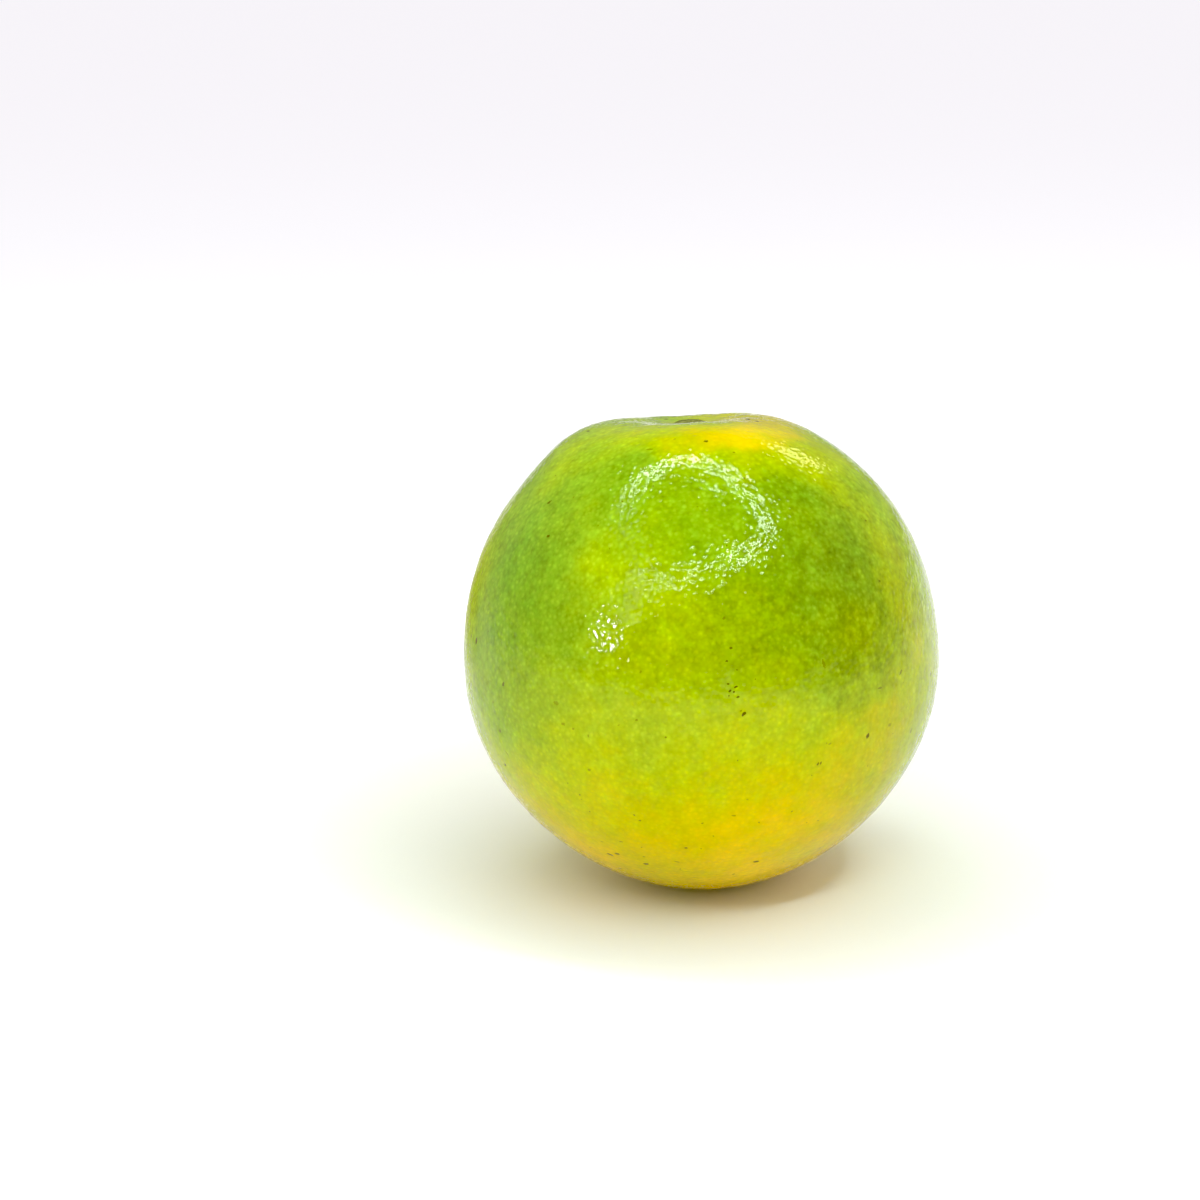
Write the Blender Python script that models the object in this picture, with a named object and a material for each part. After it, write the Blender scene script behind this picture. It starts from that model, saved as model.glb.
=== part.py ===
"""A juice orange: one whole fruit as picked, with its dried calyx button.

Metres, +Z up. The origin is the middle of the small flat spot that the fruit rests on.
The stem end points up and leans a little back (+Y) and to the left (-X), as the fruit lies.
"""

import math

import bmesh
import bpy
from mathutils import Quaternion, Vector

# Body of the fruit
EQUATOR_RADIUS = 0.0360
STEM_HEIGHT = 0.0378        # from the widest circle to the stem end, before the dimple
BLOSSOM_DEPTH = 0.0355      # from the widest circle to the blossom end
STEM_FULLNESS = 2.15        # power of the outline: 2 is an ellipse, more is squarer
BLOSSOM_FULLNESS = 1.905
HALF_BLEND = 0.25           # how softly the two halves pass into each other
OVALNESS = 0.0002           # the widest circle is this much oval, each way

# Shoulder round the stem end, fuller towards the left
SHOULDER_SWELL = 0.00064
SHOULDER_LOPSIDE = 0.00034
SHOULDER_ANGLE = math.radians(26.7)
SHOULDER_SPREAD = math.radians(11.3)
LOBE_COUNT = 3
LOBE_SWELL = 0.00042
LOBE_TURN = math.radians(41)

# Dimple that the button sits in, with faint furrows running out of it
DIMPLE_DEPTH = 0.00250
DIMPLE_RADIUS = 0.0067
FURROW_COUNT = 10
FURROW_UNEVEN = 1.5         # shifts the furrows along, so that they aren't evenly spaced
FURROW_DEPTH = 0.00007
FURROW_ANGLE = math.radians(14)
FURROW_SPREAD = math.radians(8)

# How the fruit lies
LEAN_BACK = math.radians(6.9)
LEAN_LEFT = math.radians(2.6)
REST_SPOT_RADIUS = 0.0065

# Dried calyx button
BUTTON_RADIUS = 0.0030
BUTTON_LOBES = 5
BUTTON_LOBE_SIZE = 0.00026
BUTTON_LOBE_TURN = math.radians(25)
BUTTON_OVAL = 0.00008
BUTTON_OVAL_TURN = math.radians(-23)
BUTTON_THICKNESS = 0.00042
BUTTON_EDGE_THICKNESS = 0.00018
BUTTON_RIM_POWER = 6        # the top stays level until near the rim, then rounds down
BUTTON_RIDGE_HEIGHT = 0.00008
BUTTON_RING_HEIGHT = 0.00022
BUTTON_RING_RADIUS = 0.00150
BUTTON_RING_WIDTH = 0.00055
BUTTON_PIT_DEPTH = 0.00022
BUTTON_PIT_RADIUS = 0.0008
BUTTON_UNDERCUT = 0.04      # the underside stays this share inside the rim
GAP = 0.0003                # kept clear between the button and the peel

# Fineness of the solids
FRUIT_ROWS = 56
FRUIT_COLUMNS = 72
ROW_GRADING = 1.15          # rows lie closer together at the stem end
BUTTON_RINGS = 8
BUTTON_COLUMNS = 60
HALVINGS = 40
SHARP_ANGLE = math.radians(35)

# Materials: colour, roughness
PEEL_COLOUR = (0.42, 0.55, 0.02, 1.0)
PEEL_ROUGHNESS = 0.32
BUTTON_COLOUR = (0.13, 0.12, 0.04, 1.0)
BUTTON_ROUGHNESS = 0.80


def clear_scene():
    for item in list(bpy.data.objects):
        bpy.data.objects.remove(item, do_unlink=True)


def bell(distance, spread):
    """A smooth hump: 1 at distance 0, falling to 0 within about twice the spread."""
    return math.exp(-(distance / spread) ** 2)


def mix(low, high, share):
    return low + (high - low) * share


def turns_round(columns):
    """Evenly spaced angles once round an axis."""
    return [math.tau * step / columns for step in range(columns)]


def stem_axis():
    """The direction of the stem end as the fruit lies."""
    axis = Vector((-math.tan(LEAN_LEFT), math.tan(LEAN_BACK), 1.0))
    return axis.normalized()


def lean(share):
    """The turn that carries +Z a share of the way to the stem axis."""
    upright = Vector((0.0, 0.0, 1.0))
    whole = upright.rotation_difference(stem_axis())
    return Quaternion().slerp(whole, share)


def body_radius(polar, turn):
    """Two half outlines, blended at the widest circle, which is slightly oval."""
    along = math.cos(polar)
    across = math.sin(polar)
    share = 0.5 + 0.5 * math.tanh(along / HALF_BLEND)
    height = mix(BLOSSOM_DEPTH, STEM_HEIGHT, share)
    power = mix(BLOSSOM_FULLNESS, STEM_FULLNESS, share)
    sum_of_powers = (across / EQUATOR_RADIUS) ** power + (abs(along) / height) ** power
    oval = OVALNESS * math.cos(2 * turn) * across ** 2
    return sum_of_powers ** (-1 / power) + oval


def shoulder(polar, turn):
    """The swell round the stem end, higher on the left and in three broad lobes."""
    swell = SHOULDER_SWELL - SHOULDER_LOPSIDE * math.cos(turn)
    swell += LOBE_SWELL * math.cos(LOBE_COUNT * (turn - LOBE_TURN))
    return swell * bell(polar - SHOULDER_ANGLE, SHOULDER_SPREAD)


def stem_dimple(polar, turn):
    """Depth of the hollow round the stem and of the furrows on its lip."""
    if polar > math.pi / 2:
        return 0.0
    hollow = DIMPLE_DEPTH * bell(EQUATOR_RADIUS * math.sin(polar), DIMPLE_RADIUS)
    wave = 0.5 + 0.5 * math.cos(FURROW_COUNT * turn + FURROW_UNEVEN * math.sin(turn))
    return hollow + FURROW_DEPTH * wave * bell(polar - FURROW_ANGLE, FURROW_SPREAD)


def skin_radius(polar, turn):
    """From the middle of the fruit to its skin. polar is 0 at the stem end."""
    return body_radius(polar, turn) + shoulder(polar, turn) - stem_dimple(polar, turn)


def direction(polar, turn):
    across = math.sin(polar)
    return Vector((across * math.cos(turn), across * math.sin(turn), math.cos(polar)))


def skin_point(toward):
    """The point of the skin along a direction given as the fruit lies."""
    own = lean(1.0).inverted() @ toward
    polar = math.acos(max(-1.0, min(1.0, own.z)))
    turn = math.atan2(own.y, own.x)
    return toward * skin_radius(polar, turn)


def middle_height():
    """Height of the fruit's middle at which the flat spot gets its radius."""
    polar = math.pi - math.asin(REST_SPOT_RADIUS / BLOSSOM_DEPTH)
    turns = turns_round(FRUIT_COLUMNS)
    depths = [-skin_point(direction(polar, turn)).z for turn in turns]
    return sum(depths) / len(depths)


def foot_polar(turn, middle):
    """Where the skin meets the plane of the rest spot, found by halving."""
    above = math.pi / 2
    below = math.pi
    for _ in range(HALVINGS):
        polar = 0.5 * (above + below)
        if skin_point(direction(polar, turn)).z < -middle:
            below = polar
        else:
            above = polar
    return above


def fruit_point(share, turn, middle):
    """A skin point at rest, a share of the way from the stem to the rim of the rest spot.

    The rows circle the stem at the top and pass over to circles round the rest spot.
    """
    polar = share * foot_polar(turn, middle)
    toward = lean(0.5 + 0.5 * math.cos(math.pi * share)) @ direction(polar, turn)
    point = skin_point(toward)
    return Vector((point.x, point.y, point.z + middle))


def add_ring(mesh, points):
    return [mesh.verts.new(point) for point in points]


def close_rings(mesh, rings, top, bottom):
    """Faces between neighbouring rings, and a fan of triangles at each end."""
    count = len(rings[0])
    for upper, lower in zip(rings, rings[1:]):
        for step in range(count):
            following = (step + 1) % count
            mesh.faces.new((upper[step], lower[step], lower[following], upper[following]))
    for step in range(count):
        following = (step + 1) % count
        mesh.faces.new((top, rings[0][step], rings[0][following]))
        mesh.faces.new((bottom, rings[-1][following], rings[-1][step]))


def fruit_mesh(middle):
    """The whole fruit as one closed body of rings, flat inside the last one."""
    mesh = bmesh.new()
    turns = turns_round(FRUIT_COLUMNS)
    rings = []
    for row in range(1, FRUIT_ROWS + 1):
        share = (row / FRUIT_ROWS) ** ROW_GRADING
        points = [fruit_point(share, turn, middle) for turn in turns]
        rings.append(add_ring(mesh, points))
    for vertex in rings[-1]:
        vertex.co.z = 0.0
    top = mesh.verts.new(fruit_point(0.0, 0.0, middle))
    bottom = mesh.verts.new((0.0, 0.0, 0.0))
    close_rings(mesh, rings, top, bottom)
    return mesh


def lobe_wave(turn):
    """1 along the middle of each of the button's lobes, -1 between two lobes."""
    return math.cos(BUTTON_LOBES * (turn - BUTTON_LOBE_TURN))


def button_reach(turn):
    """Distance from the stem axis to the button's rim, with five blunt lobes."""
    oval = BUTTON_OVAL * math.cos(2 * (turn - BUTTON_OVAL_TURN))
    return BUTTON_RADIUS + BUTTON_LOBE_SIZE * lobe_wave(turn) + oval


def button_height(away, turn):
    """Height of the button's top over its underside: a ring round a pit, on thin lobes."""
    ring = BUTTON_RING_HEIGHT * bell(away - BUTTON_RING_RADIUS, BUTTON_RING_WIDTH)
    pit = BUTTON_PIT_DEPTH * bell(away, BUTTON_PIT_RADIUS)
    ridge = BUTTON_RIDGE_HEIGHT * lobe_wave(turn) * (away / BUTTON_RADIUS) ** 2
    return BUTTON_THICKNESS + ring - pit + ridge


def button_point(share, turn, lift, middle):
    """A point over the dimple, a share of the way out to the rim, lifted off the peel."""
    away = share * button_reach(turn)
    polar = math.asin(away / STEM_HEIGHT)
    toward = lean(1.0) @ direction(polar, turn)
    point = skin_point(toward) + toward * lift
    return Vector((point.x, point.y, point.z + middle))


def button_top_ring(share, middle):
    """Points of the button's upper side, which rounds down to a thin edge at the rim."""
    fall = math.sqrt(max(0.0, 1.0 - share ** BUTTON_RIM_POWER))
    points = []
    for turn in turns_round(BUTTON_COLUMNS):
        height = button_height(share * button_reach(turn), turn)
        rise = mix(BUTTON_EDGE_THICKNESS, height, fall)
        points.append(button_point(share, turn, GAP + rise, middle))
    return points


def button_mesh(middle):
    """The button as one closed body: its top, a rounded rim and an underside on the dimple."""
    mesh = bmesh.new()
    shares = [ring / BUTTON_RINGS for ring in range(1, BUTTON_RINGS + 1)]
    rings = [add_ring(mesh, button_top_ring(share, middle)) for share in shares]
    for share in reversed(shares):
        inner = share - BUTTON_UNDERCUT
        points = [button_point(inner, turn, GAP, middle) for turn in turns_round(BUTTON_COLUMNS)]
        rings.append(add_ring(mesh, points))
    top_lift = GAP + button_height(0.0, 0.0)
    top = mesh.verts.new(button_point(0.0, 0.0, top_lift, middle))
    bottom = mesh.verts.new(button_point(0.0, 0.0, GAP, middle))
    close_rings(mesh, rings, top, bottom)
    return mesh


def plain_material(name, colour, roughness):
    material = bpy.data.materials.new(name)
    material.use_nodes = True
    shader = material.node_tree.nodes["Principled BSDF"]
    shader.inputs["Base Color"].default_value = colour
    shader.inputs["Roughness"].default_value = roughness
    shader.inputs["Metallic"].default_value = 0.0
    return material


def add_object(name, shape, material, parent):
    """Turns a finished shape into a smooth-shaded object under the parent."""
    mesh = bpy.data.meshes.new(name)
    shape.to_mesh(mesh)
    shape.free()
    mesh.shade_smooth()
    mesh.set_sharp_from_angle(angle=SHARP_ANGLE)
    mesh.materials.append(material)
    item = bpy.data.objects.new(name, mesh)
    bpy.context.collection.objects.link(item)
    item.parent = parent


def main():
    clear_scene()
    rest_spot = bpy.data.objects.new("rest_spot", None)
    rest_spot.empty_display_size = REST_SPOT_RADIUS
    bpy.context.collection.objects.link(rest_spot)
    middle = middle_height()
    peel = plain_material("peel", PEEL_COLOUR, PEEL_ROUGHNESS)
    dried = plain_material("dried_calyx", BUTTON_COLOUR, BUTTON_ROUGHNESS)
    add_object("fruit", fruit_mesh(middle), peel, rest_spot)
    add_object("calyx_button", button_mesh(middle), dried, rest_spot)


main()
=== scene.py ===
import math

import bmesh
import bpy
import numpy as np
from mathutils import Matrix, Vector, noise
from mathutils.bvhtree import BVHTree
from mathutils.kdtree import KDTree


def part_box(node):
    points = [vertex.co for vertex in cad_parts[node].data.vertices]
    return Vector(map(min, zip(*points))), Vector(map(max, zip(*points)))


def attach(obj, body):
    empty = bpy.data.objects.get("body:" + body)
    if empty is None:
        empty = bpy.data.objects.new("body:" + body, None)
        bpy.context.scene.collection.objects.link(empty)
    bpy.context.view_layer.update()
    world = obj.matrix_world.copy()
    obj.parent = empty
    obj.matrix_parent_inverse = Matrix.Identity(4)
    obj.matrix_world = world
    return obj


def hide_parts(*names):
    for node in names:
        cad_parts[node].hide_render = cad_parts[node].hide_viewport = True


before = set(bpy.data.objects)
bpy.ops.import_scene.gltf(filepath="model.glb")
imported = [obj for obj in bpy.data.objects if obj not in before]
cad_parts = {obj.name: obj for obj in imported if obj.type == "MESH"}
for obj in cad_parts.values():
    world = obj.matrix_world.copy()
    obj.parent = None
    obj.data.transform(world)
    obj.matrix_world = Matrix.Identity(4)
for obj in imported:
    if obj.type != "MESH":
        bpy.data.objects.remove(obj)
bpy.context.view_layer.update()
MM = 0.001

# The fruit's middle, as a share of its height
MIDDLE_SHARE = 0.4795
FRUIT_LOW, FRUIT_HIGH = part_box("fruit")
MIDDLE = Vector((0, 0, MIDDLE_SHARE * FRUIT_HIGH.z))
FRUIT_RADIUS = (FRUIT_HIGH.x - FRUIT_LOW.x) / 2
BUTTON_LOW, BUTTON_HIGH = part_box("calyx_button")
BUTTON_MIDDLE = (BUTTON_LOW + BUTTON_HIGH) / 2
STEM_AXIS = (BUTTON_MIDDLE - MIDDLE).normalized()

# The photograph's frame and viewpoint
PHOTO_SIDE = 1200
SENSOR_WIDTH = 36.0
FOCAL_PIXELS = 2617
VIEW_ELEVATION = math.radians(16.5)
VIEW_DISTANCE = 0.400
MIDDLE_IN_PHOTO = (700.7, 657.3)

# Steps towards the fruit's middle for a line of sight that just misses the fruit
INWARD_STEPS = 20
INWARD_STEP = 0.005

# Smooth skin under the fine relief
MERGE_DISTANCE = 0.001 * MM
JOIN_ANGLE = 0.7
SKIN_LEVELS = 2

# Oil glands: their count and seed, and how they are shaken and evened out
GLAND_COUNT = 15600
GLAND_SEED = 7
GLAND_JITTER = 0.55
GLAND_ROUNDS = 3
GLAND_NEIGHBOURS = 7
GLAND_SPACING = 1.15
GLAND_PUSH = 0.35

# Relief of the peel's mesh: pits, from the least share of their depth on, and slight waves
PIT_DEPTH = 0.03 * MM
PIT_LEAST = 0.35
PIT_SKEW = 2.0
PEEL_INSET = 0.03 * MM
WAVE_HEIGHT = 0.05 * MM
WAVE_LENGTH = 3.2 * MM
WAVE_FRACTAL = (0.6, 2.0, 3)
REST_FADE = 1.5 * MM


def smoothstep(x):
    """Soft step from 0 at 0 to 1 at 1."""
    x = np.clip(x, 0, 1)
    return x * x * (3 - 2 * x)


def unit_rows(points):
    """Each row of an array scaled to length 1."""
    return points / np.linalg.norm(points, axis=1, keepdims=True)


def tangent_axes(normal):
    """Two directions across a normal: sideways and upwards as seen from outside."""
    side = Vector((0, 0, 1)).cross(normal)
    if side.length < 1e-6:
        side = Vector((1, 0, 0))
    side.normalize()
    return side, normal.cross(side)


def add_object(name, data):
    """Object of a mesh or camera, in the scene."""
    made = bpy.data.objects.new(name, data)
    bpy.context.scene.collection.objects.link(made)
    return made


def bmesh_object(name, bm):
    """Mesh object of a finished bmesh, which it frees."""
    mesh = bpy.data.meshes.new(name)
    bm.to_mesh(mesh)
    bm.free()
    return add_object(name, mesh)


# Camera and lines of sight
def pixel_ray(pixel):
    """Direction of a pixel of the photograph in the camera's own axes."""
    half = PHOTO_SIDE / 2
    return Vector(((pixel[0] - half) / FOCAL_PIXELS, (half - pixel[1]) / FOCAL_PIXELS, -1))


def make_camera():
    """Camera at the photograph's viewpoint, turned so that the fruit's middle lands on its pixel."""
    data = bpy.data.cameras.new("camera")
    data.sensor_width = SENSOR_WIDTH
    data.lens = FOCAL_PIXELS / PHOTO_SIDE * SENSOR_WIDTH
    camera = add_object("camera", data)
    bpy.context.scene.camera = camera
    back = Vector((0, -math.cos(VIEW_ELEVATION), math.sin(VIEW_ELEVATION)))
    camera.location = MIDDLE + back * VIEW_DISTANCE
    camera.rotation_mode = "QUATERNION"
    straight = (-back).to_track_quat("-Z", "Y")
    aside = pixel_ray(MIDDLE_IN_PHOTO).rotation_difference(Vector((0, 0, -1)))
    camera.rotation_quaternion = straight @ aside
    return camera


def sight_line(camera, pixel):
    """Direction in which the camera sees a pixel of the photograph."""
    return (camera.rotation_quaternion @ pixel_ray(pixel)).normalized()


# The smooth skin under the fine relief
def skin_tree(node):
    """Search tree of a node's surface, refined so that no facet shows."""
    bm = bmesh.new()
    bm.from_mesh(node.data)
    bmesh.ops.remove_doubles(bm, verts=bm.verts, dist=MERGE_DISTANCE)
    bmesh.ops.join_triangles(bm, faces=bm.faces, angle_face_threshold=JOIN_ANGLE,
                             angle_shape_threshold=JOIN_ANGLE)
    guide = bmesh_object("skin_guide", bm)
    refine = guide.modifiers.new("refine", "SUBSURF")
    refine.levels = SKIN_LEVELS
    depsgraph = bpy.context.evaluated_depsgraph_get()
    tree = BVHTree.FromObject(guide, depsgraph)
    mesh = guide.data
    bpy.data.objects.remove(guide)
    bpy.data.meshes.remove(mesh)
    return tree


def skin_point(tree, direction):
    """Point of the skin that lies in a direction from the fruit's middle."""
    return tree.ray_cast(MIDDLE, Vector(direction))[0]


def seen_point(tree, camera, pixel):
    """Point of the skin that the camera sees at a pixel, or at the nearest one inside the outline."""
    for step in range(INWARD_STEPS):
        share = step * INWARD_STEP
        inward = [p + (m - p) * share for p, m in zip(pixel, MIDDLE_IN_PHOTO)]
        point = tree.ray_cast(camera.location, sight_line(camera, inward))[0]
        if point:
            return point
    raise ValueError(f"pixel {pixel} is outside the fruit")


# Oil glands as a net of points
def nearest_others(tree, point):
    """Numbers of the points nearest to a point of the tree, without that point itself."""
    return [hit[1] for hit in tree.find_n(point, GLAND_NEIGHBOURS + 1)[1:]]


def spread_directions(count, rng):
    """Directions spread over the sphere as unevenly as oil glands: a spiral, shaken and evened out."""
    steps = np.arange(count) + 0.5
    height = 1 - 2 * steps / count
    turn = steps * math.pi * (3 - math.sqrt(5))
    ring = np.sqrt(1 - height**2)
    points = np.stack([ring * np.cos(turn), ring * np.sin(turn), height], axis=1)
    pitch = math.sqrt(4 * math.pi / count)
    points = unit_rows(points + rng.normal(scale=GLAND_JITTER * pitch, size=points.shape))
    for _ in range(GLAND_ROUNDS):
        tree = KDTree(count)
        for index, point in enumerate(points):
            tree.insert(point, index)
        tree.balance()
        near = np.array([nearest_others(tree, point) for point in points])
        gap = points[:, None, :] - points[near]
        length = np.linalg.norm(gap, axis=2, keepdims=True)
        push = gap / length * np.clip(GLAND_SPACING * pitch - length, 0, None)
        points = unit_rows(points + GLAND_PUSH * push.sum(axis=1))
    return points


def hull_faces(points):
    """Triangles that join neighbouring directions: the convex hull of points on a sphere."""
    bm = bmesh.new()
    for point in points:
        bm.verts.new(point)
    bm.verts.index_update()
    bmesh.ops.convex_hull(bm, input=bm.verts)
    bmesh.ops.triangulate(bm, faces=bm.faces)
    faces = np.array([[vert.index for vert in face.verts] for face in bm.faces])
    bm.free()
    corner = points[faces]
    across = np.cross(corner[:, 1] - corner[:, 0], corner[:, 2] - corner[:, 0])
    flip = np.einsum("ij,ij->i", across, corner.sum(axis=1)) < 0
    faces[flip] = faces[flip][:, ::-1]
    return faces


class GlandNet:
    """Fine triangles of the peel: each belongs to one gland, from its centre to halfway to the next."""

    def __init__(self, count, rng):
        centres = spread_directions(count, rng)
        faces = hull_faces(centres)
        sides = np.sort(np.stack([faces, np.roll(faces, -1, axis=1)], axis=2), axis=2)
        edges, side_edge = np.unique(sides.reshape(-1, 2), axis=0, return_inverse=True)
        side_edge = side_edge.reshape(-1, 3) + count
        halfway = unit_rows(centres[edges].sum(axis=1))
        between = unit_rows(centres[faces].sum(axis=1))
        self.count = count
        self.directions = np.concatenate([centres, halfway, between])
        hub = np.arange(len(faces)) + count + len(edges)
        parts = []
        for k in range(3):
            corner = faces[:, k]
            after = side_edge[:, k]
            before = side_edge[:, (k + 2) % 3]
            parts.append(np.stack([corner, after, hub], axis=1))
            parts.append(np.stack([corner, hub, before], axis=1))
        self.triangles = np.concatenate(parts)
        self.owner = self.triangles[:, 0]


def build_peel_points(net, tree, strength):
    """Places the net on the skin, with sunken glands and the slight unevenness of a real peel."""
    skin = np.array([skin_point(tree, direction) for direction in net.directions])
    wave = np.array([noise.fractal(Vector(p) / WAVE_LENGTH, *WAVE_FRACTAL) for p in skin])
    relief = WAVE_HEIGHT * wave - PEEL_INSET
    relief[: net.count] -= PIT_DEPTH * strength
    relief = np.minimum(relief, 0) * smoothstep(skin[:, 2] / REST_FADE)
    return skin + net.directions * relief[:, None]


# Ripeness, 0 leaf green to 1 orange yellow, and depth, how much the colour is darkened, or lightened below
# zero, in soft marks on the peel: partly deeper green and partly painted shade, on the sides and low on the
# right
# Seen marks: pixel of the photograph, reach sideways and upwards in mm, ripeness, depth
SEEN_MARKS = {
    "gold beside the calyx": ((748, 433), 4.4, 2.4, 1.04, -0.28),
    "gold on the rim": ((764, 420), 4.0, 3.0, 0.92, 0.10),
    "yellow before the calyx": ((698, 438), 5.0, 2.0, 0.86, 0.00),
    "yellow green under the gold": ((745, 465), 4.0, 2.0, 0.62, 0.00),
    "left brow": ((568, 462), 4.0, 2.5, 0.45, -0.08),
    "yellow green left of the calyx": ((645, 434), 5.0, 2.5, 0.60, -0.10),
    "left shoulder": ((590, 480), 7.0, 5.0, 0.15, 0.05),
    "brow": ((690, 490), 7.0, 4.0, 0.14, 0.10),
    "upper middle": ((700, 530), 5.0, 4.0, 0.20, 0.10),
    "right shoulder": ((812, 455), 4.5, 3.5, 0.58, 0.20),
    "right of the upper middle": ((800, 520), 5.0, 5.0, 0.21, 0.50),
    # partly painted shade: this band on the right is deeper green and also shade painted where less light
    # falls
    "dark band of green and painted shade on the right": ((845, 570), 5.0, 7.0, 0.20, 0.80),
    "foot of the band of green and painted shade": ((870, 640), 5.0, 4.0, 0.42, 0.85),
    "olive right edge": ((900, 580), 2.8, 6.0, 0.72, 0.62),
    "dark spot under the band": ((838, 690), 4.0, 3.0, 0.34, 0.60),
    "pale patch left of the middle": ((632, 575), 6.0, 5.0, 0.38, -0.12),
    "middle": ((680, 645), 6.0, 5.0, 0.42, 0.28),
    "green right of the middle": ((757, 622), 4.0, 4.0, 0.36, 0.52),
    "dull green by the small marks": ((752, 680), 4.0, 4.0, 0.46, 0.46),
    "green by the dark band": ((795, 640), 3.5, 3.0, 0.30, 0.50),
    # partly painted shade: the left flank is deeper green and also shade painted where less light falls
    "left flank": ((515, 590), 5.0, 8.0, 0.06, 0.25),
    "green spot in from the left flank": ((560, 650), 4.0, 4.0, 0.18, 0.10),
    "low left flank": ((510, 700), 4.0, 5.0, 0.25, 0.20),
    "left of the lower middle": ((600, 730), 8.0, 6.0, 0.46, 0.00),
    "lower middle": ((700, 750), 9.0, 5.0, 0.50, 0.00),
    "right of the lower middle": ((790, 740), 7.0, 5.0, 0.57, 0.12),
    "yellow low on the right": ((830, 775), 6.0, 5.0, 0.80, 0.17),
    "yellow right of the lower middle": ((793, 785), 4.0, 3.5, 0.98, 0.00),
    # painted shade: darker low on the right, where less light falls
    "painted shade low right": ((835, 835), 5.0, 5.0, 0.85, 0.30),
    "low right edge": ((895, 740), 5.0, 7.0, 0.70, 0.35),
    "low in front": ((690, 812), 9.0, 5.0, 0.84, 0.00),
    "gold low in front": ((775, 832), 6.0, 4.0, 0.95, 0.00),
    "low on the left": ((570, 800), 7.0, 6.0, 0.66, 0.00),
    "foot on the left": ((640, 860), 9.0, 5.0, 0.84, 0.15),
    "foot in front": ((710, 878), 9.0, 4.0, 0.92, 0.05),
}
# Unseen marks: degrees round from the front towards the right, degrees up, reach in mm, ripeness, depth
UNSEEN_MARKS = {
    "back shoulder": ((170, 50), 12.0, 8.0, 0.55, 0.10),
    "right back flank": ((120, 15), 10.0, 12.0, 0.25, 0.45),
    "gold on the back": ((200, 5), 10.0, 9.0, 0.85, 0.00),
    "left back flank": ((255, 10), 9.0, 12.0, 0.30, 0.25),
    "right back foot": ((140, -45), 12.0, 8.0, 0.80, 0.05),
    "left back foot": ((235, -45), 12.0, 8.0, 0.70, 0.10),
    "underside": ((0, -85), 14.0, 14.0, 0.95, 0.05),
    "stem end on the left": ((230, 80), 4.5, 4.5, 0.40, 0.10),
    "stem end on the right": ((140, 79), 4.5, 4.5, 0.88, 0.05),
    "right flank": ((76, 0), 7.0, 12.0, 0.48, 0.32),
    "right flank above": ((85, 38), 8.0, 7.0, 0.38, 0.22),
}
# What counts away from all marks: its weight, its ripeness and depth, and what the blossom end adds
# to the ripeness from a height on, which is given in radii above the middle
BASE_WEIGHT = 0.02
BASE_RIPE = 0.30
BASE_DEPTH = 0.15
BLOSSOM_RIPER = 0.5
BLOSSOM_START = 0.2
# Shift of the marks' edges: how far, and over what length it changes
WARP_REACH = 2.6 * MM
WARP_LENGTH = 6.0 * MM
WARP_OCTAVES = 3
# Weathered marks: pixel, reach sideways and upwards in mm, strength
WEATHERED_MARKS = {
    "grey patch beside the small marks": ((736, 664), 2.0, 2.0, 0.50),
    "grey patch below": ((725, 682), 1.0, 0.8, 0.45),
    "rubbed spot right of the middle": ((832, 660), 2.2, 1.6, 0.35),
    "brown rim behind the calyx": ((752, 419), 2.6, 1.6, 0.65),
    "tan shoulder": ((800, 428), 3.5, 1.2, 0.35),
}


class Mark:
    """A soft oval mark round a point of the skin; its reach is how far it spreads sideways and up."""

    def __init__(self, centre, sideways, upwards):
        normal = (centre - MIDDLE).normalized()
        side, rise = tangent_axes(normal)
        self.centre = np.array(centre)
        self.axes = np.array([side / sideways, rise / upwards, normal / max(sideways, upwards)]) / MM

    def weight(self, points):
        """1 at the mark's centre, falling away to 0."""
        offset = (points - self.centre) @ self.axes.T
        return np.exp(-0.5 * (offset**2).sum(axis=1))


def round_point(tree, around, up):
    """Point of the skin at an angle round from the front and an angle up, in degrees."""
    turn = math.radians(around)
    rise = math.radians(up)
    toward = (math.sin(turn) * math.cos(rise), -math.cos(turn) * math.cos(rise), math.sin(rise))
    return skin_point(tree, toward)


def warped(points):
    """Points shifted by soft noise, so that the marks get ragged edges."""
    shift = [noise.turbulence_vector(Vector(p) / WARP_LENGTH, WARP_OCTAVES, False) for p in points]
    return points + WARP_REACH * np.array(shift)


def weathering(points, tree, camera):
    """How weathered the peel is at each point, from the weathered marks."""
    total = np.zeros(len(points))
    for pixel, sideways, upwards, strength in WEATHERED_MARKS.values():
        total += strength * Mark(seen_point(tree, camera, pixel), sideways, upwards).weight(points)
    return np.clip(total, 0, 1)


def peel_fields(points, tree, camera):
    """Ripeness and depth at each point: each mark counts by its nearness, over a riper blossom end."""
    points = warped(points)
    height = (points[:, 2] - MIDDLE.z) / FRUIT_RADIUS
    total = np.full(len(points), BASE_WEIGHT)
    ripe = total * (BASE_RIPE + BLOSSOM_RIPER * smoothstep(BLOSSOM_START - height))
    depth = total * BASE_DEPTH
    marks = [(seen_point(tree, camera, mark[0]), mark) for mark in SEEN_MARKS.values()]
    marks += [(round_point(tree, *mark[0]), mark) for mark in UNSEEN_MARKS.values()]
    for centre, (_, sideways, upwards, mark_ripe, mark_depth) in marks:
        weight = Mark(centre, sideways, upwards).weight(points)
        total += weight
        ripe += weight * mark_ripe
        depth += weight * mark_depth
    return ripe / total, depth / total


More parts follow.
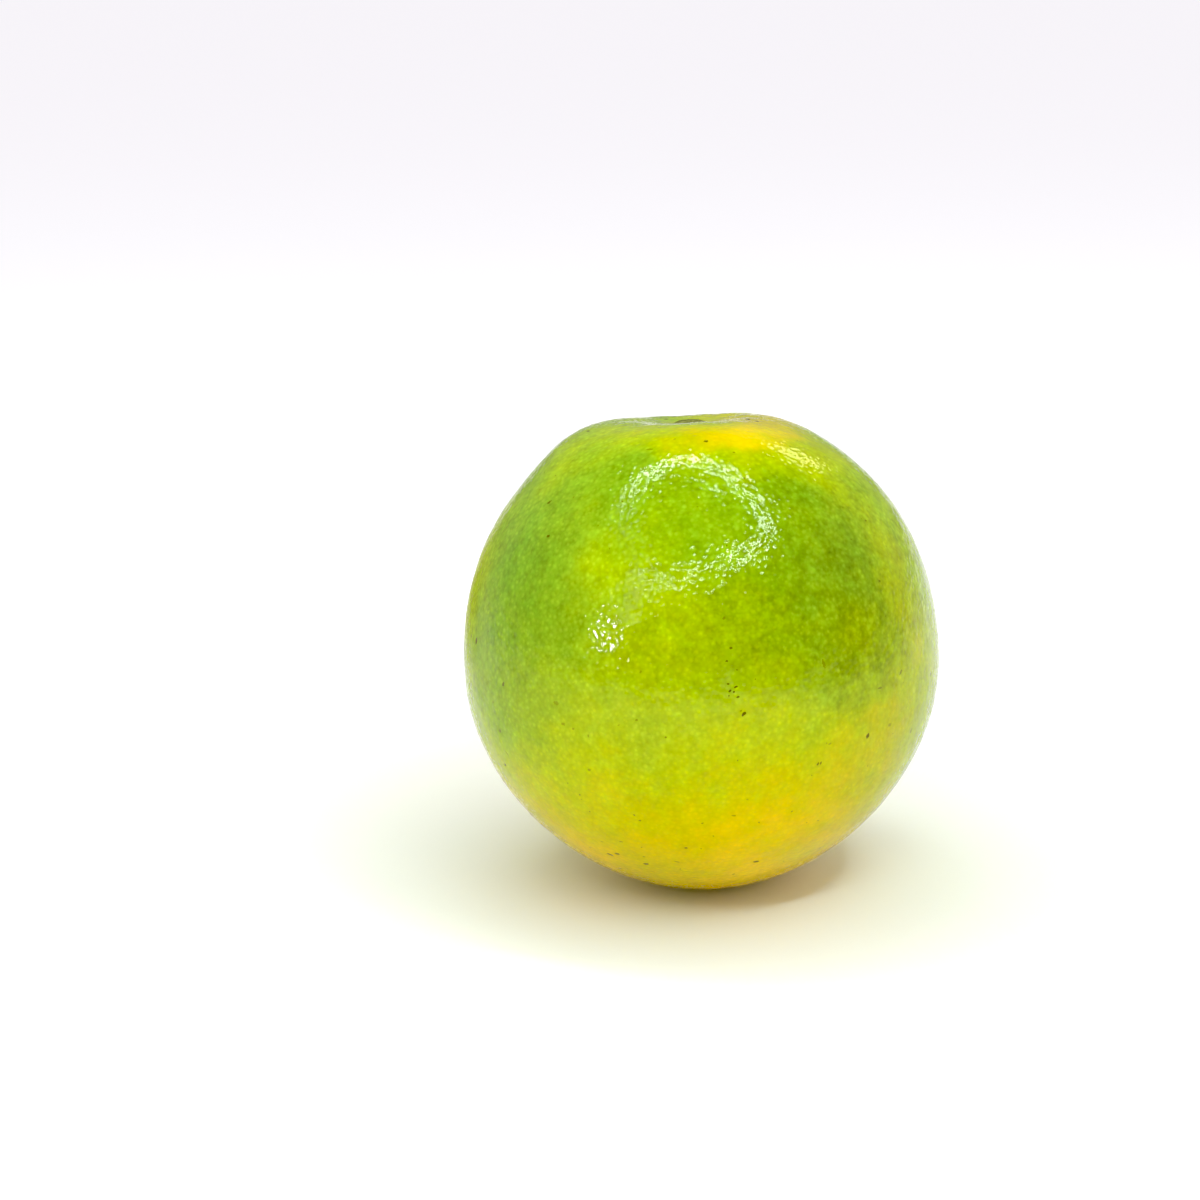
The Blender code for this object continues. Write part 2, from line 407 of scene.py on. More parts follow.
# Specks: pixel, half length and half width in mm, turn in degrees, darkness
SPECKS = [
    ((549, 502), 0.35, 0.20, 60, 0.9), ((548, 536), 0.30, 0.20, 20, 0.9), ((476, 641), 0.45, 0.28, 80, 1.0),
    ((471, 636), 0.30, 0.20, 60, 0.4), ((503, 684), 0.34, 0.22, 60, 0.8), ((500, 731), 0.28, 0.22, 0, 0.6),
    ((505, 765), 0.30, 0.20, 30, 0.9), ((507, 754), 0.45, 0.16, -50, 0.4), ((556, 703), 0.40, 0.26, 0, 0.3),
    ((563, 724), 0.35, 0.20, 10, 0.35), ((573, 729), 0.20, 0.16, 0, 0.3), ((589, 770), 0.26, 0.18, 0, 0.4),
    ((731, 648), 0.22, 0.14, 0, 0.8), ((724, 618), 0.24, 0.15, 60, 0.5), ((727, 661), 0.16, 0.13, 0, 0.9),
    ((737, 670), 0.13, 0.11, 0, 0.6), ((728, 684), 0.15, 0.12, 0, 0.9), ((736, 687), 0.26, 0.12, 30, 1.0),
    ((730, 691), 0.20, 0.12, 40, 1.0), ((734, 692), 0.16, 0.11, 45, 0.9), ((729, 696), 0.13, 0.10, 0, 0.7),
    ((738, 697), 0.22, 0.13, 20, 0.9), ((744, 714), 0.32, 0.20, 45, 1.0), ((741, 711), 0.14, 0.11, 0, 0.7),
    ((824, 664), 0.60, 0.20, 100, 0.45), ((818, 764), 0.24, 0.12, 70, 1.0), ((821, 763), 0.22, 0.10, 80, 0.9),
    ((830, 744), 0.26, 0.12, 20, 0.35), ((868, 736), 0.36, 0.24, 60, 1.0), ((880, 688), 0.36, 0.14, 0, 0.5),
    ((890, 725), 0.30, 0.22, 0, 0.3), ((901, 672), 0.40, 0.18, 40, 0.55), ((911, 731), 0.34, 0.18, 80, 0.7),
    ((931, 674), 0.30, 0.20, 80, 0.7), ((610, 855), 0.50, 0.20, -20, 1.0), ((617, 854), 0.38, 0.22, 10, 0.9),
    ((621, 842), 0.30, 0.14, 0, 0.4), ((646, 864), 0.40, 0.24, 0, 1.0), ((644, 857), 0.22, 0.14, 0, 0.4),
    ((620, 869), 0.36, 0.26, 0, 0.5), ((686, 848), 0.24, 0.16, 0, 0.8), ((677, 862), 0.40, 0.14, -20, 0.4),
    ((756, 862), 0.36, 0.24, 10, 1.0), ((787, 868), 0.34, 0.20, 0, 0.6), ((734, 816), 0.30, 0.16, -20, 0.4),
    ((706, 441), 0.30, 0.24, 0, 0.8), ((734, 452), 0.20, 0.15, 0, 0.5), ((588, 431), 0.50, 0.20, 10, 0.6),
    ((649, 449), 0.50, 0.16, 10, 0.4), ((748, 419), 0.60, 0.35, 0, 1.0), ((757, 421), 0.40, 0.25, 0, 0.9),
    ((666, 419), 0.40, 0.20, 0, 0.6),
]
# Seeded stray specks: their count, half lengths in mm, width as a share of length, and darkness
STRAY_SPECKS = 260
STRAY_LENGTHS = (0.08, 0.2)
STRAY_WIDTH = 0.7
STRAY_TONES = (0.2, 0.7)
# How far a speck reaches in half lengths, how far past that its triangles lie, and a far offset
SPECK_REACH = 1.6
SPECK_MARGIN = 0.7 * MM
SPECK_NOWHERE = 9.0


class SpeckField:
    """Where each triangle's nearest speck lies, in units of that speck's own size."""

    def __init__(self, count):
        self.offset = np.full((count, 3, 3), SPECK_NOWHERE)
        self.tone = np.zeros((count, 3))
        self.nearest = np.full(count, SPECK_MARGIN)

    def add(self, corners, middles, centre, length, width, turn, tone):
        """Writes one speck to the triangles around it."""
        normal = (Vector(centre) - MIDDLE).normalized()
        side, rise = tangent_axes(normal)
        angle = math.radians(turn)
        first = np.array(side * math.cos(angle) + rise * math.sin(angle)) / length
        second = np.array(rise * math.cos(angle) - side * math.sin(angle)) / width
        third = np.array(normal) / length
        axes = np.array([first, second, third])
        away = np.linalg.norm(middles - np.array(centre), axis=1) - SPECK_REACH * length
        near = away < self.nearest
        self.nearest[near] = away[near]
        self.offset[near] = (corners[near] - np.array(centre)) @ axes.T
        self.tone[near] = tone


def speck_field(points, triangles, tree, camera, rng):
    """The photograph's specks and seeded stray ones over the whole fruit."""
    corners = points[triangles]
    middles = corners.mean(axis=1)
    specks = SpeckField(len(triangles))
    for direction in unit_rows(rng.normal(size=(STRAY_SPECKS, 3))):
        centre = skin_point(tree, direction)
        size = rng.uniform(*STRAY_LENGTHS) * MM
        turn = rng.uniform(0, 180)
        tone = rng.uniform(*STRAY_TONES)
        specks.add(corners, middles, centre, size, size * STRAY_WIDTH, turn, tone)
    for pixel, length, width, turn, tone in SPECKS:
        centre = seen_point(tree, camera, pixel)
        specks.add(corners, middles, centre, length * MM, width * MM, turn, tone)
    return specks


# Map of the sphere: six charts in a grid of three by two
CHART_MARGIN = 0.012


def chart_coordinates(directions, triangles):
    """Place of each triangle corner on a map made of the six sides of a cube."""
    middles = directions[triangles].mean(axis=1)
    axis = np.abs(middles).argmax(axis=1)
    rows = np.arange(len(triangles))
    positive = middles[rows, axis] > 0
    chart = axis * 2 + positive
    corners = directions[triangles]
    result = np.zeros((len(triangles), 3, 2))
    for number in range(6):
        picked = chart == number
        main, positive_side = divmod(number, 2)
        first, second = [k for k in range(3) if k != main]
        if positive_side == (main == 1):
            first, second = second, first
        depth = np.abs(corners[picked][:, :, main])
        u = np.arctan2(corners[picked][:, :, first], depth) / (math.pi / 2) + 0.5
        v = np.arctan2(corners[picked][:, :, second], depth) / (math.pi / 2) + 0.5
        row, column = divmod(number, 3)
        scale = 1 - 2 * CHART_MARGIN
        result[picked, :, 0] = (column + CHART_MARGIN + u * scale) / 3
        result[picked, :, 1] = (row + CHART_MARGIN + v * scale) / 2
    return result


# Mesh assembly
# Distance in mm that stands for a point on the other end of the fruit
OTHER_END = 99


def mesh_object(name, points, triangles):
    """Smooth shaded mesh object from arrays."""
    mesh = bpy.data.meshes.new(name)
    mesh.from_pydata(points.tolist(), [], triangles.tolist())
    mesh.shade_smooth()
    return add_object(name, mesh)


def store(piece, name, kind, domain, values):
    """Writes values as a named attribute of a mesh."""
    attribute = piece.data.attributes.new(name, kind, domain)
    key = "vector" if kind == "FLOAT_VECTOR" else "value"
    attribute.data.foreach_set(key, np.asarray(values, dtype=np.float32).ravel())


def store_glands(piece, net, points, traits):
    """Writes each corner's offset from its gland in mm, and the gland's size, tone and depth."""
    offset = (points[net.triangles] - points[net.owner][:, None, :]) / MM
    store(piece, "gland_offset", "FLOAT_VECTOR", "CORNER", offset)
    store(piece, "gland_traits", "FLOAT_VECTOR", "CORNER", np.repeat(traits[net.owner], 3, axis=0))


def store_colour_fields(piece, points, tree, camera):
    """Writes ripeness, depth, which is deeper green and partly painted shade, and weathering."""
    ripe, depth = peel_fields(points, tree, camera)
    store(piece, "ripeness", "FLOAT", "POINT", ripe)
    store(piece, "depth", "FLOAT", "POINT", depth)
    store(piece, "weathered", "FLOAT", "POINT", weathering(points, tree, camera))


def store_axis_distances(piece, points):
    """Writes the distance from the fruit's axis in mm, apart for the stem end and the blossom end."""
    offset = points - np.array(MIDDLE)
    away = np.linalg.norm(np.cross(offset, np.array(STEM_AXIS)), axis=1) / MM
    above = offset @ np.array(STEM_AXIS) > 0
    store(piece, "from_stem", "FLOAT", "POINT", np.where(above, away, OTHER_END))
    store(piece, "from_blossom", "FLOAT", "POINT", np.where(above, OTHER_END, away))


def store_specks(piece, net, points, tree, camera, rng):
    """Writes where each corner lies in its nearest speck, and how dark that speck is."""
    specks = speck_field(points, net.triangles, tree, camera, rng)
    store(piece, "speck_offset", "FLOAT_VECTOR", "CORNER", specks.offset)
    store(piece, "speck_tone", "FLOAT", "CORNER", specks.tone)


def make_peel(tree, camera):
    """The peel, with a triangle fan for every oil gland."""
    rng = np.random.default_rng(GLAND_SEED)
    net = GlandNet(GLAND_COUNT, rng)
    traits = rng.uniform(0, 1, size=(net.count, 3))
    traits[:, 2] = PIT_LEAST + (1 - PIT_LEAST) * traits[:, 2] ** PIT_SKEW
    points = build_peel_points(net, tree, traits[:, 2])
    piece = mesh_object("peel", points, net.triangles)
    store_glands(piece, net, points, traits)
    store_colour_fields(piece, points, tree, camera)
    store_axis_distances(piece, points)
    store_specks(piece, net, points, tree, camera, rng)
    unfolding = piece.data.uv_layers.new(name="OFBake")
    unfolding.data.foreach_set("uv", chart_coordinates(net.directions, net.triangles).ravel())
    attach(piece, "root")
    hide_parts("fruit")
    return piece


# Node building
class Nodes:
    """Short calls that add nodes to a material or world."""

    def __init__(self, owner):
        owner.use_nodes = True
        self.tree = owner.node_tree
        self.tree.nodes.clear()

    def add(self, kind, settings=None, **inputs):
        """Adds a node; settings are its own properties, inputs are values or sockets by name."""
        node = self.tree.nodes.new(kind)
        for key, value in (settings or {}).items():
            setattr(node, key, value)
        for key, value in inputs.items():
            self.feed(node, key.replace("_", " "), value)
        return node

    def feed(self, node, key, value):
        """Sets an input by name or by number, or links a socket to it."""
        socket = node.inputs[int(key)] if key.isdigit() else node.inputs[key]
        if isinstance(value, bpy.types.NodeSocket):
            self.tree.links.new(value, socket)
        else:
            socket.default_value = value

    def math(self, operation, first, second=0.0, third=0.0, clamp=False):
        """One step of arithmetic."""
        node = self.tree.nodes.new("ShaderNodeMath")
        node.operation = operation
        node.use_clamp = clamp
        for number, value in enumerate((first, second, third)):
            self.feed(node, str(number), value)
        return node.outputs[0]

    def ramp(self, value, low, high, start, end, smooth=True):
        """Maps low..high to start..end, held at both ends."""
        node = self.tree.nodes.new("ShaderNodeMapRange")
        node.interpolation_type = "SMOOTHSTEP" if smooth else "LINEAR"
        for number, item in enumerate((value, low, high, start, end)):
            self.feed(node, str(number), item)
        return node.outputs[0]

    def mix(self, share, first, second, blend="MIX"):
        """Mixes two colours."""
        node = self.tree.nodes.new("ShaderNodeMix")
        node.data_type = "RGBA"
        node.blend_type = blend
        self.feed(node, "0", share)
        self.feed(node, "6", first)
        self.feed(node, "7", second)
        return node.outputs[2]

    def tint(self, share, colour, tint):
        """A colour partly multiplied by a tint."""
        return self.mix(share, colour, self.mix(1.0, colour, tint, "MULTIPLY"))

    def value(self, name):
        """A plain value stored on the mesh."""
        return self.add("ShaderNodeAttribute", {"attribute_name": name}).outputs["Fac"]

    def vector(self, name):
        """A vector stored on the mesh."""
        return self.add("ShaderNodeAttribute", {"attribute_name": name}).outputs["Vector"]

    def parts(self, vector):
        """The three parts of a vector or colour."""
        return self.add("ShaderNodeSeparateXYZ", None, Vector=vector).outputs

    def length(self, vector):
        """Length of a vector."""
        return self.add("ShaderNodeVectorMath", {"operation": "LENGTH"}, **{"0": vector}).outputs["Value"]

    def noise(self, place, scale, detail=2.0, roughness=0.5):
        """Soft noise, about 0 to 1."""
        node = self.add("ShaderNodeTexNoise", None, Vector=place, Scale=scale, Detail=detail,
                        Roughness=roughness)
        return node.outputs[0]

    def centred_noise(self, place, scale, detail=2.0, roughness=0.5):
        """Soft noise about zero, from about -0.3 to 0.3."""
        return self.math("SUBTRACT", self.noise(place, scale, detail, roughness), 0.5)

    def sum(self, start, terms):
        """A value plus each term's value times its share."""
        for value, share in terms:
            start = self.math("MULTIPLY_ADD", value, share, start)
        return start

    def surface(self, shader):
        """Makes a shader the material's surface."""
        self.add("ShaderNodeOutputMaterial", None, Surface=shader.outputs[0])


def colour_ramp(nodes, value, stops):
    """Colour ramp through (position, colour) stops."""
    node = nodes.add("ShaderNodeValToRGB", None, Fac=value)
    ramp = node.color_ramp
    while len(ramp.elements) < len(stops):
        ramp.elements.new(0.5)
    for element, (position, colour) in zip(ramp.elements, stops):
        element.position = position
        element.color = (*colour, 1)
    return node.outputs[0]


# Peel colours, linear: from deep green through yellow green to orange yellow
PEEL_STOPS = [
    (0.0, (0.26, 0.47, 0.026)),
    (0.2, (0.33, 0.50, 0.024)),
    (0.4, (0.44, 0.56, 0.016)),
    (0.6, (0.53, 0.575, 0.005)),
    (0.8, (0.67, 0.56, 0.001)),
    (1.0, (0.88, 0.585, 0.001)),
]
WEB_TINT = (0.68, 0.77, 0.8, 1)
SPOT_TINT = (1.26, 1.18, 1.6, 1)
WEATHERED_GREY = (0.25, 0.27, 0.06, 1)
SPECK_BROWN = (0.085, 0.062, 0.001, 1)
SPECK_OLIVE = (0.22, 0.20, 0.004, 1)
HALO_TAN = (0.50, 0.46, 0.10, 1)
SCAR_BROWN = (0.16, 0.10, 0.025, 1)

# Large glands: noise that frays them, radii in mm, and where and how strongly their spots show
GLAND_NOISE = (2600.0, 2.0)
GLAND_FRAY = 0.26
PIT_RADIUS = 0.56
PIT_POWER = 1.5
SPOT_RADII = (0.30, 0.52)
SPOT_FADE = (0.1, 1.2)
SPOT_TONES = (0.25, 1.0)

# Small glands: cells to a metre, where their spots fade, which cells have one, and its strength
SMALL_GLAND_SCALE = 1450.0
SMALL_FADE = (0.08, 0.55)
SMALL_CHANCE = (0.3, 1.0)
SMALL_STRENGTH = 0.8

# Patches of ripeness: noise as scale to a metre, detail and roughness, and the share of each
BROAD_PATCHES = (90.0, 3.0, 0.6)
MIDDLE_PATCHES = (240.0, 2.0)
FINE_PATCHES = (680.0, 2.0, 0.6)
PATCH_SHARES = (0.45, 0.22, 0.16)

# Mottle, web and spots: they weaken from the first ripeness to the second, down to the least share
GREEN_RIPENESS = (0.25, 0.95)
GREEN_LEAST = 0.35
MOTTLE_FINE = (1250.0, 1.0)
MOTTLE_COARSE = (330.0, 2.0)
MOTTLE_MIX = 0.7
MOTTLE_SHARE = 1.35
DEPTH_SHADE = 0.5
WEB_SHARE = 0.50
SPOT_SHARE = 0.50

# Halo, scar and worn patches: how far noise frays their edges, where they fade, and their strength
EDGE_NOISE = (900.0, 4.0)
HALO_FRAY = 2.4
HALO_FADE = (4.0, 6.2)
HALO_SHARE = 0.75
SCAR_FRAY = 2.0
SCAR_FADE = (1.0, 2.0)
SCAR_SHARE = 0.9
WORN_NOISE = (1100.0, 4.0, 0.65)
WORN_FRAY = 1.6
WORN_RANGE = (0.15, 1.1)
WORN_SHARE = 0.5

# Specks: how far noise frays them, where they fade, and how much they cover from faint to dark
SPECK_NOISE = (4200.0, 2.0)
SPECK_FRAY = 1.5
SPECK_FADE = (0.90, 1.30)
SPECK_COVER = (0.4, 0.95)

# Finest relief: its height, and the share of each part, where minus is sunken
RELIEF_HEIGHT = 0.085 * MM
PIT_RELIEF = -0.60
SMALL_RELIEF = -0.28
SPECK_RELIEF = -0.3
COARSE_RELIEF_NOISE = (520.0, 1.0)
COARSE_RELIEF = 0.65
MIDDLE_RELIEF_NOISE = (1000.0, 0.0)
MIDDLE_RELIEF = 0.48
FINE_RELIEF_NOISE = (4200.0, 2.0)
FINE_RELIEF = 0.05

# Gloss: roughness from the smoothest to the roughest wax, and what a speck adds
ROUGHNESS_NOISE = (300.0, 3.0)
ROUGHNESS_RANGE = (0.3, 0.7)
PEEL_ROUGHNESS = (0.04, 0.10)
SPECK_ROUGHNESS = 0.08
PEEL_SPECULAR = 0.32


def gland_pit(nodes, from_centre, depth):
    """Pit of a large gland: deepest at its centre, level from its radius on."""
    inward = nodes.math("SUBTRACT", 1.0, nodes.math("DIVIDE", from_centre, PIT_RADIUS), clamp=True)
    return nodes.math("MULTIPLY", nodes.math("POWER", inward, PIT_POWER), depth)


def gland_spot(nodes, from_centre, size, tone):
    """Light spot over a large gland."""
    reach = nodes.ramp(size, 0.0, 1.0, *SPOT_RADII, smooth=False)
    spot = nodes.ramp(nodes.math("DIVIDE", from_centre, reach), *SPOT_FADE, 1.0, 0.0)
    return nodes.math("MULTIPLY", spot, nodes.ramp(tone, 0.0, 1.0, *SPOT_TONES, smooth=False))


def small_glands(nodes, place):
    """Spots of the small glands between the large ones."""
    cells = nodes.add("ShaderNodeTexVoronoi", None, Vector=place, Scale=SMALL_GLAND_SCALE)
    chance = nodes.parts(cells.outputs["Color"])[0]
    spot = nodes.ramp(cells.outputs["Distance"], *SMALL_FADE, 1.0, 0.0)
    return nodes.math("MULTIPLY", spot, nodes.ramp(chance, *SMALL_CHANCE, 0.0, SMALL_STRENGTH))


def gland_shapes(nodes, place):
    """Masks of the glands: pits and spots of the large ones, and spots of the small ones."""
    size, tone, depth = nodes.parts(nodes.vector("gland_traits"))
    from_centre = nodes.length(nodes.vector("gland_offset"))
    from_centre = nodes.sum(from_centre, [(nodes.centred_noise(place, *GLAND_NOISE), GLAND_FRAY)])
    pit = gland_pit(nodes, from_centre, depth)
    spot = gland_spot(nodes, from_centre, size, tone)
    return pit, spot, small_glands(nodes, place)


def patchy_ripeness(nodes, place, fine):
    """Ripeness with broad, middle and fine patches."""
    broad = nodes.centred_noise(place, *BROAD_PATCHES)
    middle = nodes.centred_noise(place, *MIDDLE_PATCHES)
    return nodes.sum(nodes.value("ripeness"), zip((broad, middle, fine), PATCH_SHARES))


def mottled(nodes, place, base, fine, green):
    """A colour darkened by the depth, which is deeper green and partly painted shade, and by a mottle that
    shows most in the green.
    """
    mottle = nodes.sum(fine, [
        (nodes.centred_noise(place, *MOTTLE_FINE), MOTTLE_MIX),
        (nodes.centred_noise(place, *MOTTLE_COARSE), MOTTLE_MIX),
    ])
    share = nodes.math("MULTIPLY", green, MOTTLE_SHARE)
    # depth darkens the colour: deeper green, and partly painted shade
    deep = nodes.math("MULTIPLY_ADD", mottle, share, nodes.value("depth"))
    shade = nodes.math("MULTIPLY_ADD", deep, -DEPTH_SHADE, 1.0)
    scaled = nodes.add("ShaderNodeVectorMath", {"operation": "SCALE"}, Vector=base, Scale=shade)
    return scaled.outputs[0]


def peel_colour(nodes, place, spots):
    """Patchy ripening from green to yellow, mottled, with light spots in a darker web."""
    fine = nodes.centred_noise(place, *FINE_PATCHES)
    ripe = patchy_ripeness(nodes, place, fine)
    green = nodes.ramp(ripe, *GREEN_RIPENESS, 1.0, GREEN_LEAST)
    base = mottled(nodes, place, colour_ramp(nodes, ripe, PEEL_STOPS), fine, green)
    web = nodes.math("MULTIPLY", nodes.math("SUBTRACT", 1.0, spots, clamp=True), green)
    base = nodes.tint(nodes.math("MULTIPLY", web, WEB_SHARE), base, WEB_TINT)
    light = nodes.math("MULTIPLY", nodes.math("MULTIPLY", spots, green), SPOT_SHARE)
    return nodes.tint(light, base, SPOT_TINT)


def add_halo(nodes, place, base):
    """Tan halo round the calyx."""
    away = nodes.sum(nodes.value("from_stem"), [(nodes.noise(place, *EDGE_NOISE), HALO_FRAY)])
    return nodes.mix(nodes.ramp(away, *HALO_FADE, HALO_SHARE, 0.0), base, HALO_TAN)


def add_scar(nodes, place, base):
    """Brown scar of the flower at the blossom end."""
    fray = nodes.centred_noise(place, *EDGE_NOISE)
    away = nodes.sum(nodes.value("from_blossom"), [(fray, SCAR_FRAY)])
    return nodes.mix(nodes.ramp(away, *SCAR_FADE, SCAR_SHARE, 0.0), base, SCAR_BROWN)


def add_worn_patches(nodes, place, base):
    """Weathered grey patches."""
    fray = nodes.centred_noise(place, *WORN_NOISE)
    worn = nodes.sum(nodes.value("weathered"), [(fray, WORN_FRAY)])
    return nodes.mix(nodes.ramp(worn, *WORN_RANGE, 0.0, WORN_SHARE), base, WEATHERED_GREY)


def speck_mask(nodes, place):
    """Mask of the dark specks."""
    away = nodes.length(nodes.vector("speck_offset"))
    away = nodes.sum(away, [(nodes.centred_noise(place, *SPECK_NOISE), SPECK_FRAY)])
    return nodes.ramp(away, *SPECK_FADE, 1.0, 0.0)


def add_specks(nodes, speck, base):
    """Specks, from faint olive to dark brown."""
    tone = nodes.value("speck_tone")
    cover = nodes.math("MULTIPLY", speck, nodes.ramp(tone, 0.0, 1.0, *SPECK_COVER))
    return nodes.mix(cover, base, nodes.mix(tone, SPECK_OLIVE, SPECK_BROWN))


def peel_bump(nodes, place, pit, small, speck):
    """Finest relief: gland pits, the unevenness between them and sunken specks."""
    relief = nodes.sum(nodes.math("MULTIPLY", pit, PIT_RELIEF), [
        (nodes.centred_noise(place, *COARSE_RELIEF_NOISE), COARSE_RELIEF),
        (small, SMALL_RELIEF),
        (nodes.centred_noise(place, *MIDDLE_RELIEF_NOISE), MIDDLE_RELIEF),
        (nodes.noise(place, *FINE_RELIEF_NOISE), FINE_RELIEF),
        (speck, SPECK_RELIEF),
    ])
    bump = nodes.add("ShaderNodeBump", None, Strength=1.0, Distance=RELIEF_HEIGHT, Height=relief)
    return bump.outputs[0]


def peel_roughness(nodes, place, speck):
    """Slightly uneven wax, duller on the specks."""
    uneven = nodes.noise(place, *ROUGHNESS_NOISE)
    rough = nodes.ramp(uneven, *ROUGHNESS_RANGE, *PEEL_ROUGHNESS)
    return nodes.sum(rough, [(speck, SPECK_ROUGHNESS)])


def peel_material():
    """Waxy citrus peel: oil glands, patchy ripening, weathering, specks and a fine gloss."""
    material = bpy.data.materials.new("peel")
    nodes = Nodes(material)
    place = nodes.add("ShaderNodeTexCoord").outputs["Object"]
    pit, spot, small = gland_shapes(nodes, place)
    speck = speck_mask(nodes, place)
    base = peel_colour(nodes, place, nodes.math("MAXIMUM", spot, small))
    for add_layer in (add_halo, add_scar, add_worn_patches):
        base = add_layer(nodes, place, base)
    base = add_specks(nodes, speck, base)
    shader = nodes.add("ShaderNodeBsdfPrincipled", None, Base_Color=base,
                       Roughness=peel_roughness(nodes, place, speck),
                       Normal=peel_bump(nodes, place, pit, small, speck),
                       Specular_IOR_Level=PEEL_SPECULAR)
    nodes.surface(shader)
    return material


# Dried calyx: rings and turns of its mesh, lobes, and its radius as a share of the button's
CALYX_RINGS = 44
CALYX_TURNS = 160
CALYX_LOBES = 5
CALYX_SHARE = 0.82
BUTTON_SIZE = BUTTON_HIGH - BUTTON_LOW
CALYX_RADIUS = (BUTTON_SIZE.x + BUTTON_SIZE.y) / 4 * CALYX_SHARE
# Its edge: depth and turn of the lobes, and how ragged it is, by noise round the turn
LOBE_DEPTH = 0.085
LOBE_TURN = 0.44
EDGE_RAGGED = 0.05
EDGE_NOISE_RATE = 3
EDGE_NOISE_PLACE = 5
# Its profile in mm by share of the radius: ridge, scar in the middle, falling edge and wrinkles
RIDGE_HEIGHT = 0.22
RIDGE_PLACE = 0.5
RIDGE_WIDTH = 0.14
STEM_SCAR_DEPTH = 0.20
STEM_SCAR_WIDTH = 0.26
EDGE_DROP = 0.30
EDGE_START = 0.75
WRINKLE_HEIGHT = 0.10
WRINKLE_RATE = 7
WRINKLE_STRETCH = 2.2
# Thickness of its rim, and how far its upper and lower middles are sunk, in mm
CALYX_RIM = 0.16
CALYX_TOP_SUNK = 0.2
CALYX_LOW_SUNK = 0.45


def noise_round(turn, rate, place):
    """Noise that closes on itself round a turn."""
    return noise.noise(Vector((math.cos(turn) * rate, math.sin(turn) * rate, place)))


def calyx_reach(turn, share):
    """How far out a point of the calyx lies: five blunt lobes with a ragged edge."""
    lobe = 1 + LOBE_DEPTH * math.cos(CALYX_LOBES * (turn - LOBE_TURN))
    ragged = noise_round(turn, EDGE_NOISE_RATE, EDGE_NOISE_PLACE) * EDGE_RAGGED
    return CALYX_RADIUS * lobe * share * (1 + ragged * share)


def calyx_height(turn, share):
    """Height of a point of the calyx in mm: a raised ring, a scar, a falling edge and wrinkles."""
    height = RIDGE_HEIGHT * math.exp(-((share - RIDGE_PLACE) / RIDGE_WIDTH) ** 2)
    height -= STEM_SCAR_DEPTH * math.exp(-(share / STEM_SCAR_WIDTH) ** 2)
    height -= EDGE_DROP * max(0, share - EDGE_START) / (1 - EDGE_START)
    return height + WRINKLE_HEIGHT * noise_round(turn, WRINKLE_RATE, share * WRINKLE_STRETCH) * share


def calyx_points():
    """Points of the calyx: rings from the middle out, the lower rim, then the two middles."""
    side, rise = tangent_axes(STEM_AXIS)
    points = []
    for ring in range(1, CALYX_RINGS + 1):
        share = ring / CALYX_RINGS
        for step in range(CALYX_TURNS):
            turn = 2 * math.pi * step / CALYX_TURNS
            reach = calyx_reach(turn, share)
            across = side * reach * math.cos(turn) + rise * reach * math.sin(turn)
            points.append(BUTTON_MIDDLE + across + STEM_AXIS * calyx_height(turn, share) * MM)
    points += [point - STEM_AXIS * CALYX_RIM * MM for point in points[-CALYX_TURNS:]]
    points += [BUTTON_MIDDLE - STEM_AXIS * sunk * MM for sunk in (CALYX_TOP_SUNK, CALYX_LOW_SUNK)]
    return np.array([tuple(point) for point in points])


def calyx_triangles():
    """Triangles of the calyx: bands between the rings and down the rim, and a fan at each middle."""
    rim = CALYX_RINGS * CALYX_TURNS
    top = rim + CALYX_TURNS
    low = top + 1
    triangles = []
    for ring in range(CALYX_RINGS):
        for step in range(CALYX_TURNS):
            a = ring * CALYX_TURNS + step
            b = ring * CALYX_TURNS + (step + 1) % CALYX_TURNS
            triangles.append((a, a + CALYX_TURNS, b + CALYX_TURNS))
            triangles.append((a, b + CALYX_TURNS, b))
    for step in range(CALYX_TURNS):
        after = (step + 1) % CALYX_TURNS
        triangles.append((top, step, after))
        triangles.append((low, rim + after, rim + step))
    return np.array(triangles)


def make_calyx():
    """Dried calyx: five blunt lobes, radial wrinkles, a raised ring and the scar of the stem."""
    piece = mesh_object("calyx", calyx_points(), calyx_triangles())
    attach(piece, "root")
    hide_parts("calyx_button")
    return piece


# Calyx colours, linear, from the dark to the light parts of its mottle
CALYX_STOPS = [
    (0.30, (0.050, 0.042, 0.012)),
    (0.45, (0.13, 0.12, 0.035)),
    (0.58, (0.25, 0.24, 0.08)),
    (0.75, (0.42, 0.40, 0.17)),
]
CALYX_MOTTLE = (1500.0, 5.0, 0.65)
CALYX_FIBRE = (5200.0, 3.0, 0.6)
FIBRE_SHARE = 0.5
CALYX_RELIEF = 0.08 * MM
CALYX_RELIEF_STRENGTH = 0.8
FIBRE_RANGE = (0.3, 0.7)
CALYX_ROUGHNESS = (0.6, 0.85)
CALYX_SPECULAR = 0.3


def calyx_material():
    """Dry woody calyx, mottled grey olive."""
    material = bpy.data.materials.new("dried_calyx")
    nodes = Nodes(material)
    place = nodes.add("ShaderNodeTexCoord").outputs["Object"]
    mottle = nodes.noise(place, *CALYX_MOTTLE)
    fibre = nodes.noise(place, *CALYX_FIBRE)
    mixed = nodes.sum(mottle, [(nodes.math("SUBTRACT", fibre, 0.5), FIBRE_SHARE)])
    base = colour_ramp(nodes, mixed, CALYX_STOPS)
    bump = nodes.add("ShaderNodeBump", None, Strength=CALYX_RELIEF_STRENGTH,
                     Distance=CALYX_RELIEF, Height=mixed)
    rough = nodes.ramp(fibre, *FIBRE_RANGE, *CALYX_ROUGHNESS)
    shader = nodes.add("ShaderNodeBsdfPrincipled", None, Base_Color=base, Roughness=rough,
                       Normal=bump.outputs[0], Specular_IOR_Level=CALYX_SPECULAR)
    nodes.surface(shader)
    return material


